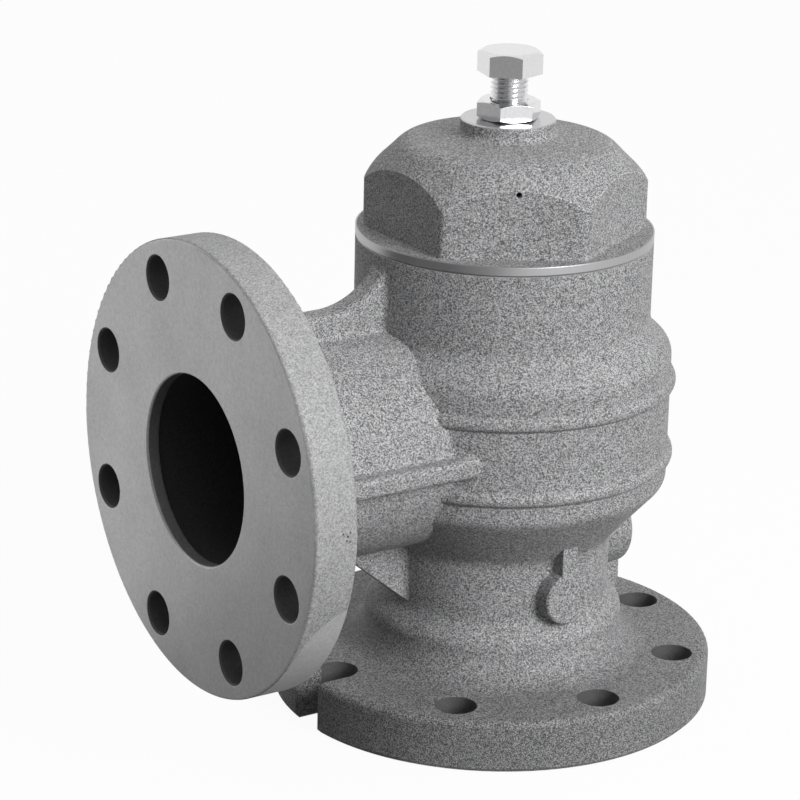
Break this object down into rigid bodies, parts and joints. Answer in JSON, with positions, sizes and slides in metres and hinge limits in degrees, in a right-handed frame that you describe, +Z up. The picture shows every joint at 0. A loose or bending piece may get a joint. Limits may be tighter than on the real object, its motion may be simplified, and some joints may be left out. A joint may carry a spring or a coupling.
{
  "type": "minimum pressure valve",
  "caption": "Flanged angle valve with a sprung piston over a check disc, a hexagonal screwed spring cap and an adjusting screw with its lock nut on top.",
  "frame": {"origin": "centre of the inlet flange face, on the axis of the bore", "axes": "+Z up along the stem and spring axis, away from the inlet face; -X along the outlet axis, out of the outlet flange; +Y completes the right-handed frame"},
  "size_m": [0.2459, 0.191, 0.286],
  "materials": {
    "cast_body": "blasted sand casting with machined flange faces",
    "cast_cap": "blasted sand casting with a turned ring and boss face",
    "bronze": "turned bronze",
    "rubber": "moulded black rubber",
    "turned_steel": "fine turned steel",
    "zinc_plated_steel": "bright zinc plating",
    "turned_aluminium": "turned aluminium",
    "white_plastic": "white bearing plastic",
    "spring_steel": "dark oiled spring wire"
  },
  "bodies": {
    "housing": {"valve_body": "cast_body", "seat_ring": "bronze", "spring_cap": "cast_cap", "cap_o_ring": "rubber", "main_spring": "spring_steel"},
    "check_valve": {"check_disc": "turned_steel", "check_seal": "rubber", "seal_retainer": "turned_steel", "retainer_washer": "zinc_plated_steel", "retainer_screw": "zinc_plated_steel", "stem_stop_washer": "turned_steel", "stem_circlip": "spring_steel", "check_spring": "spring_steel"},
    "spring_piston": {"piston": "turned_aluminium", "piston_o_rings": "rubber", "piston_guide_ring": "white_plastic", "guide_bush": "bronze", "spring_washer": "turned_steel"},
    "spring_adjuster": {"upper_spring_seat": "turned_steel", "thrust_ball": "turned_steel"},
    "screw": {"adjusting_screw": "zinc_plated_steel"},
    "nut": {"lock_nut": "zinc_plated_steel"}
  },
  "joints": [
    {"name": "disc_lift", "type": "slide", "parent": "housing", "child": "check_valve", "axis": [0, 0, 1], "range_m": [0, 0.02], "stiffness_N_per_m": 35000, "springref_m": -0.01, "deforming": ["main_spring"]},
    {"name": "piston_lift", "type": "slide", "parent": "check_valve", "child": "spring_piston", "axis": [0, 0, 1], "range_m": [0, 0.02], "stiffness_N_per_m": 35000, "springref_m": -0.01, "deforming": ["check_spring"]},
    {"name": "spring_set", "type": "slide", "parent": "housing", "child": "spring_adjuster", "axis": [0, 0, 1], "range_m": [-0.008, 0.005]},
    {"name": "screw_turn", "type": "hinge", "parent": "spring_adjuster", "child": "screw", "pos_m": [0, 0, 0.28], "axis": [0, 0, 1], "range_deg": [-1440, 900]},
    {"name": "nut_loosen", "type": "hinge", "parent": "housing", "child": "nut", "pos_m": [0, 0, 0.26], "axis": [0, 0, 1], "range_deg": [0, 90]}
  ],
  "couplings": [
    {"joint": "screw_turn", "follows": "spring_set", "rad_per_m": 3141.6}
  ]
}
